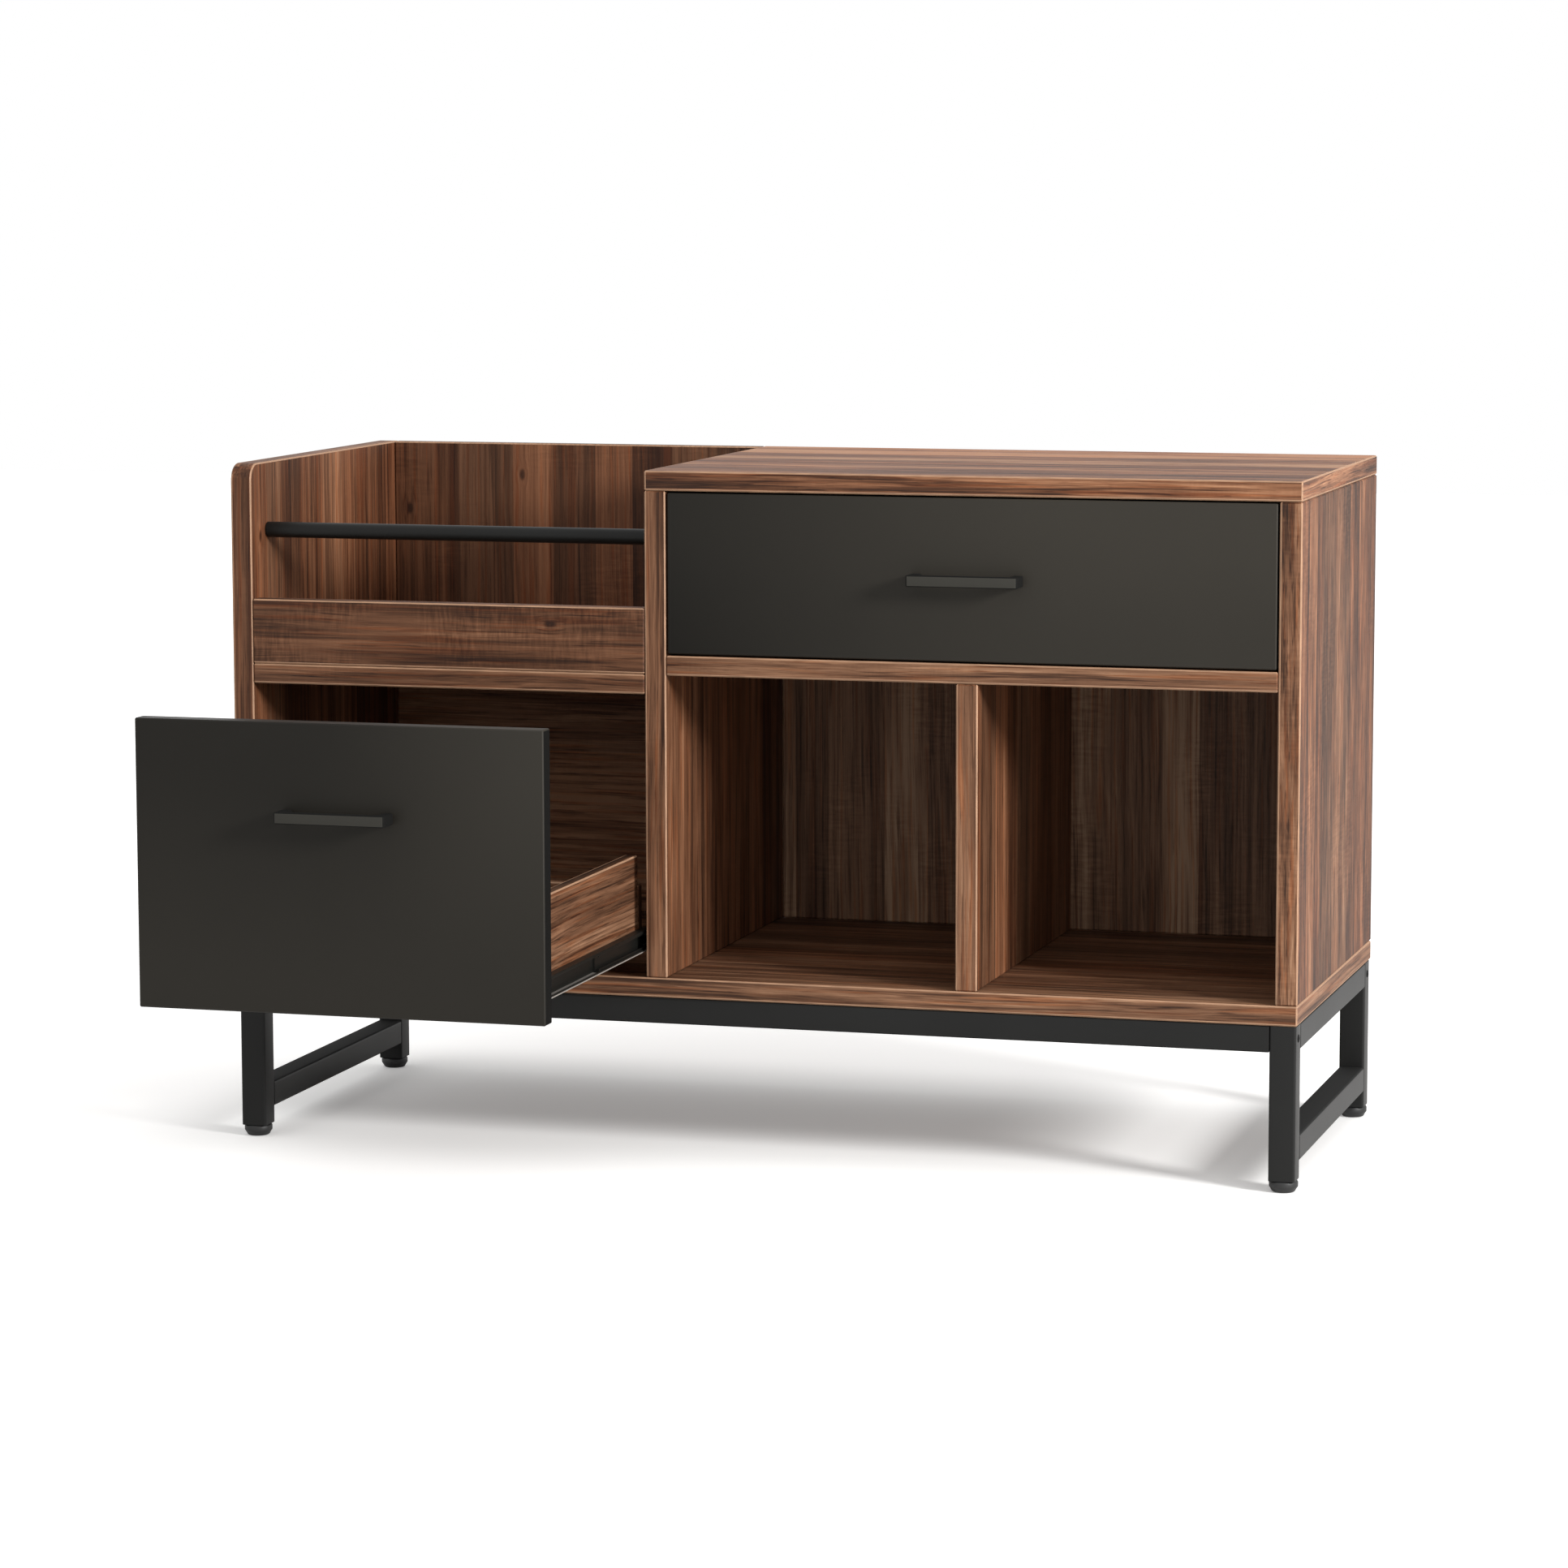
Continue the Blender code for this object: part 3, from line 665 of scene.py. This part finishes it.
def square_loop(half, radius, steps=6):
    """Points of a square with rounded corners, in the plane."""
    points = []
    inner = half - radius
    for quarter in range(4):
        for step in range(steps + 1):
            angle = math.radians(90) * (quarter + step / steps)
            corner = math.radians(45) + math.radians(90) * quarter
            x = math.copysign(inner, math.cos(corner)) + radius * math.cos(angle)
            y = math.copysign(inner, math.sin(corner)) + radius * math.sin(angle)
            points.append((x, y))
    return points


def round_loop(pattern, radius):
    """A circle with its points in the same directions as those of another loop."""
    return [Vector(point).normalized() * radius for point in pattern]


def polar_loop(reach, steps=ROUND_STEPS):
    """Points at equal angles, as far out as a function of the angle says."""
    points = []
    for i in range(steps):
        angle = math.tau * i / steps
        radius = reach(angle)
        points.append((radius * math.cos(angle), radius * math.sin(angle)))
    return points


def circle(radius, steps=ROUND_STEPS):
    return polar_loop(lambda angle: radius, steps)


def hexagon(radius):
    side = math.radians(60)
    return polar_loop(lambda angle: radius * math.cos(side / 2) / math.cos(angle % side - side / 2))


def cross(length, half_width):
    """A screwdriver's cross."""
    quarter = math.radians(90)

    def reach(angle):
        rise = math.sin(abs((angle + quarter / 2) % quarter - quarter / 2))
        return half_width / rise if rise * length > half_width else length

    return polar_loop(reach)


def thread_ring(height, top):
    """One ring of a stud's thread, which fades out over the last turn under its top."""
    fade = min(1.0, (top - height) / THREAD_PITCH)

    def reach(angle):
        phase = (height / THREAD_PITCH - angle / math.tau) % 1.0
        return STUD_RADIUS - THREAD_DEPTH * (abs(2 * phase - 1) * fade + (1 - fade))

    return lift(polar_loop(reach), height)


def lift(loop, height):
    """A loop of the plane, raised to a height."""
    return [Vector((point[0], point[1], height)) for point in loop]


def add_tubes():
    """Square tubes of the base with rounded corners and eased ends, in place of the plain ones."""
    powder = coated("black_powder_coat", POWDER_COAT, roughness=0.42, grain_size=0.0006, depth=0.00005,
                    gloss=0.2, dull_shaded_axes="Z", painted_shade=0.0)
    along = {"front_rail": "X", "rear_rail": "X"}
    for column in ("left", "right"):
        along.update({f"side_rail_{column}": "Y", f"stretcher_{column}": "Y"})
    along.update({f"leg_{corner}": "Z" for corner in CORNERS})
    turn = {
        "X": Matrix.Rotation(math.radians(90), 3, "Y"),
        "Y": Matrix.Rotation(math.radians(-90), 3, "X"),
        "Z": Matrix.Identity(3),
    }
    for node, axis in along.items():
        low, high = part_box(node)
        middle, size = (low + high) / 2, high - low
        half = min(size) / 2
        outer = square_loop(half, TUBE_CORNER)
        eased = square_loop(half - TUBE_EASE, TUBE_CORNER - TUBE_EASE)
        inner = square_loop(half - TUBE_WALL, TUBE_CORNER - TUBE_WALL)
        top = size[AXES.index(axis)] / 2
        foot = -top
        loops = [lift(outer, foot + TUBE_EASE), lift(outer, top - TUBE_EASE)]
        loops += [lift(eased, top), lift(inner, top)]
        if axis == "Z":
            hole = round_loop(inner, STUD_HOLE_RADIUS)
            loops += [lift(inner, foot + TUBE_WALL), lift(hole, foot + TUBE_WALL), lift(hole, foot)]
        else:
            loops += [lift(inner, foot)]
        loops += [lift(eased, foot)]
        bm = skin_loops([[middle + turn[axis] @ point for point in loop] for loop in loops], closed=True)
        add_piece(f"{node}_tube", bm, powder, "cabinet", [node])


def add_guard_rail():
    """Round bar of the tray with eased ends."""
    black = coated("rail_black", RAIL_BLACK, roughness=0.45, grain_size=0.0005, depth=0.00003, gloss=0.25)
    low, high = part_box("guard_rail")
    middle, half = (low + high) / 2, (high.x - low.x) / 2
    radius = (high.z - low.z) / 2
    eased = radius - RAIL_EASE
    profile = [(eased, -half), (radius, RAIL_EASE - half), (radius, half - RAIL_EASE), (eased, half)]
    loops = [lift(circle(reach, RAIL_STEPS), height) for reach, height in profile]
    turn = Matrix.Rotation(math.radians(90), 3, "Y")
    bm = skin_loops([[middle + turn @ point for point in loop] for loop in loops])
    add_piece("guard_rail_bar", bm, black, "cabinet", ["guard_rail"])


def add_handles():
    """Bar pulls: one bent bar each, with soft edges and two legs."""
    # The pulls' ends, tops and undersides are darkened with painted shade
    satin = coated("satin_black", HANDLE_BLACK, roughness=0.62, grain_size=0.0005, depth=0.00002,
                   gloss=0.2, dull_shaded_axes="XZ")
    for drawer in DRAWERS:
        low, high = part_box(f"{drawer}_drawer_handle")
        left, right, front, back = low.x, high.x, low.y, high.y
        inside = front + HANDLE_BAR
        outline = [(left, front), (right, front), (right, back), (right - HANDLE_LEG, back),
                   (right - HANDLE_LEG, inside), (left + HANDLE_LEG, inside), (left + HANDLE_LEG, back),
                   (left, back)]
        bm = bmesh.new()
        face = bm.faces.new([bm.verts.new((x, y, low.z)) for x, y in outline])
        grown = bmesh.ops.extrude_face_region(bm, geom=[face])["geom"]
        raised = [item for item in grown if isinstance(item, bmesh.types.BMVert)]
        bmesh.ops.translate(bm, verts=raised, vec=(0.0, 0.0, high.z - low.z))
        bends = [edge for edge in bm.edges if abs(edge.verts[0].co.z - edge.verts[1].co.z) > HAIR
                 and edge.verts[0].co.y < inside + HAIR]
        bmesh.ops.bevel(bm, geom=bends, offset=HANDLE_BEND, segments=8, profile=0.5, affect="EDGES")
        sharp = [edge for edge in bm.edges if len(edge.link_faces) == 2
                 and edge.calc_face_angle() > HANDLE_EASED_ANGLE
                 and min(vert.co.y for vert in edge.verts) < back - HAIR]
        bmesh.ops.bevel(bm, geom=sharp, offset=HANDLE_EASE, segments=4, profile=0.5, affect="EDGES")
        add_piece(f"{drawer}_drawer_pull", bm, satin, f"{drawer}_drawer",
                  [f"{drawer}_drawer_handle"])


def add_feet():
    """Levelling feet: a moulded pad under a threaded stud, in one skin."""
    plastic = coated("foot_plastic_moulded", FOOT_BLACK, roughness=0.50, grain_size=0.0008, depth=0.00004)
    for corner in CORNERS:
        low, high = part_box(f"foot_{corner}")
        middle = Vector(((low.x + high.x) / 2, (low.y + high.y) / 2, low.z))
        widest, top = (high.x - low.x) / 2, high.z - low.z
        rim = [(widest - inset, height) for inset, height in PAD_RIM]
        pad = [*PAD_SOLE, *rim, (STUD_RADIUS + STUD_ROOT, PAD_HEIGHT)]
        loops = [lift(circle(radius), height) for radius, height in pad]
        length = top - PAD_HEIGHT
        rings = round(length / THREAD_PITCH * RINGS_PER_TURN)
        loops += [thread_ring(PAD_HEIGHT + length * k / rings, top) for k in range(1, rings + 1)]
        bm = skin_loops([[middle + point for point in loop] for loop in loops])
        add_piece(f"foot_{corner}_turned", bm, plastic, f"levelling_foot_{corner}",
                  [f"foot_{corner}"])


def add_head(name, profile, recess, depth, place, towards, material, body):
    """A screw or bolt head with a recess, standing on a place."""
    loops = [lift(circle(radius), height) for radius, height in profile]
    top = profile[-1][1]
    loops += [lift(recess, top), lift(recess, top - depth)]
    turn = Vector(towards).to_track_quat("Z", "Y").to_matrix()
    bm = skin_loops([[place + turn @ point for point in loop] for loop in loops])
    add_piece(name, bm, material, body)


def add_bolts():
    """Low socket bolts on the outer faces of the legs."""
    black = coated("bolt_black", BOLT_BLACK, roughness=0.80, grain_size=0.0004, depth=0.00002, gloss=0.2)
    socket = hexagon(BOLT_SOCKET_RADIUS)
    for corner in CORNERS:
        column = corner.split("_")[1]
        low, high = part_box(f"leg_{corner}")
        rail_low, rail_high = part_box(f"side_rail_{column}")
        outer, side = (low.x, -1.0) if column == "left" else (high.x, 1.0)
        place = Vector((outer, (low.y + high.y) / 2, (rail_low.z + rail_high.z) / 2))
        add_head(f"frame_bolt_{corner}", BOLT_DOME, socket, BOLT_SOCKET_DEPTH, place, (side, 0.0, 0.0),
                 black, "cabinet")


def add_screws():
    """The handles' screws on the inside of the fronts."""
    zinc = zinc_plated("screw_zinc", SCREW_ZINC, roughness=0.32)
    recess = cross(SCREW_CROSS_LENGTH, SCREW_CROSS_HALF_WIDTH)
    for drawer in DRAWERS:
        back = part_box(f"{drawer}_drawer_front")[1].y
        low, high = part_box(f"{drawer}_drawer_handle")
        for end, x in (("left", low.x + SCREW_INSET), ("right", high.x - SCREW_INSET)):
            place = Vector((x, back, (low.z + high.z) / 2))
            add_head(f"{drawer}_handle_screw_{end}", SCREW_PAN, recess, SCREW_CROSS_DEPTH, place,
                     (0.0, 1.0, 0.0), zinc, f"{drawer}_drawer")


def add_camera():
    camera = bpy.data.objects.new("camera", bpy.data.cameras.new("camera"))
    bpy.context.collection.objects.link(camera)
    camera.data.lens = CAMERA_LENS
    camera.data.sensor_width = CAMERA_SENSOR
    turn = (Matrix.Rotation(CAMERA_YAW, 4, "Z") @ Matrix.Rotation(math.radians(90) - CAMERA_PITCH, 4, "X")
            @ Matrix.Rotation(CAMERA_ROLL, 4, "Z"))
    camera.matrix_world = Matrix.Translation(CAMERA_PLACE) @ turn
    bpy.context.scene.camera = camera


def key_on_floor(g, spot):
    """How bright the key makes a white floor at a spot."""
    to_key = g.vector("SUBTRACT", KEY_PLACE, spot)
    gap = g.length(to_key)
    slant = g.math("DIVIDE", g.parts(to_key)[2], gap)
    aim = g.dot(to_key, (KEY_PLACE - KEY_AIM).normalized())
    beam = g.math("DIVIDE", aim, g.math("POWER", gap, 3.0))
    return g.math("MULTIPLY", g.math("MULTIPLY", beam, slant), KEY_POWER / KEY_SPREAD)


def floor_lift(g, spot):
    """Brightness added at a spot of the floor, least in the shadow's core under the carcass."""
    low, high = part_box("bottom_panel")
    core = (high - low) / 2 - Vector((SHADOW_INSET, SHADOW_INSET, 0.0))
    aside = g.vector("ABSOLUTE", g.vector("SUBTRACT", spot, (low + high) / 2))
    aside = g.vector("MULTIPLY", g.vector("SUBTRACT", aside, core), (1.0, 1.0, 0.0))
    aside = g.vector("MAXIMUM", aside, (0.0, 0.0, 0.0))
    return g.ease(g.length(aside), 0.0, SHADOW_FADE, *FLOOR_LIFT)


def floor_material():
    """Pale, but white to the camera, apart from the shadow."""
    material = bpy.data.materials.new("pale_floor")
    g = empty_graph(material)
    spot = g.add("ShaderNodeNewGeometry").outputs["Position"]
    sky = DOME * (1 + DOME_SLOPE.z * 2 / 3)  # how bright the surroundings make a white floor
    lack = g.math("SUBTRACT", 1.0 - sky, key_on_floor(g, spot), clamp=True)
    to_camera = g.add("ShaderNodeLightPath").outputs["Is Camera Ray"]
    strength = g.math("MULTIPLY_ADD", floor_lift(g, spot), to_camera, lack)
    plain = g.add("ShaderNodeBsdfDiffuse", {"Color": shade(WHITE, FLOOR_TONE)}).outputs[0]
    bright = g.add("ShaderNodeBsdfDiffuse", {"Color": shade(FLOOR_WHITE)}).outputs[0]
    glow = g.add("ShaderNodeEmission", {"Color": shade(WHITE), "Strength": strength}).outputs[0]
    white = g.add("ShaderNodeAddShader", {0: bright, 1: glow}).outputs[0]
    surface = g.add("ShaderNodeMixShader", {0: g.shown(), 1: plain, 2: white}).outputs[0]
    g.add("ShaderNodeOutputMaterial", {"Surface": surface})
    return material


def add_floor():
    bm = bmesh.new()
    bmesh.ops.create_grid(bm, x_segments=8, y_segments=8, size=FLOOR_REACH)
    mesh = bpy.data.meshes.new("floor")
    bm.to_mesh(mesh)
    bm.free()
    mesh.materials.append(floor_material())
    floor = bpy.data.objects.new("floor", mesh)
    floor.location.z = cad_box[0].z - FLOOR_DROP
    bpy.context.collection.objects.link(floor)


def add_key():
    """Large soft lamp at the front right."""
    key = bpy.data.lights.new("key", "AREA")
    key.shape = "DISK"
    key.size = KEY_SIZE
    key.energy = KEY_POWER
    lamp = bpy.data.objects.new("key", key)
    lamp.location = KEY_PLACE
    lamp.rotation_euler = (KEY_AIM - KEY_PLACE).to_track_quat("-Z", "Y").to_euler()
    lamp.visible_camera = False
    bpy.context.collection.objects.link(lamp)


def add_surroundings():
    """Soft light from all sides, in front of plain white."""
    world = bpy.data.worlds.new("studio")
    g = empty_graph(world)
    way = g.add("ShaderNodeTexCoord").outputs["Generated"]
    soft = g.math("MULTIPLY", g.math("ADD", g.dot(way, DOME_SLOPE), 1.0), DOME)
    strength = g.math("MAXIMUM", g.shown(), soft)
    ground = g.add("ShaderNodeBackground", {"Color": shade(WHITE), "Strength": strength}).outputs[0]
    g.add("ShaderNodeOutputWorld", {"Surface": ground})
    bpy.context.scene.world = world


def main():
    bpy.context.scene.view_settings.view_transform = "Standard"
    dress_boards()
    dress_drawers()
    add_tubes()
    add_guard_rail()
    add_handles()
    add_feet()
    add_bolts()
    add_screws()
    add_camera()
    add_floor()
    add_key()
    add_surroundings()


main()
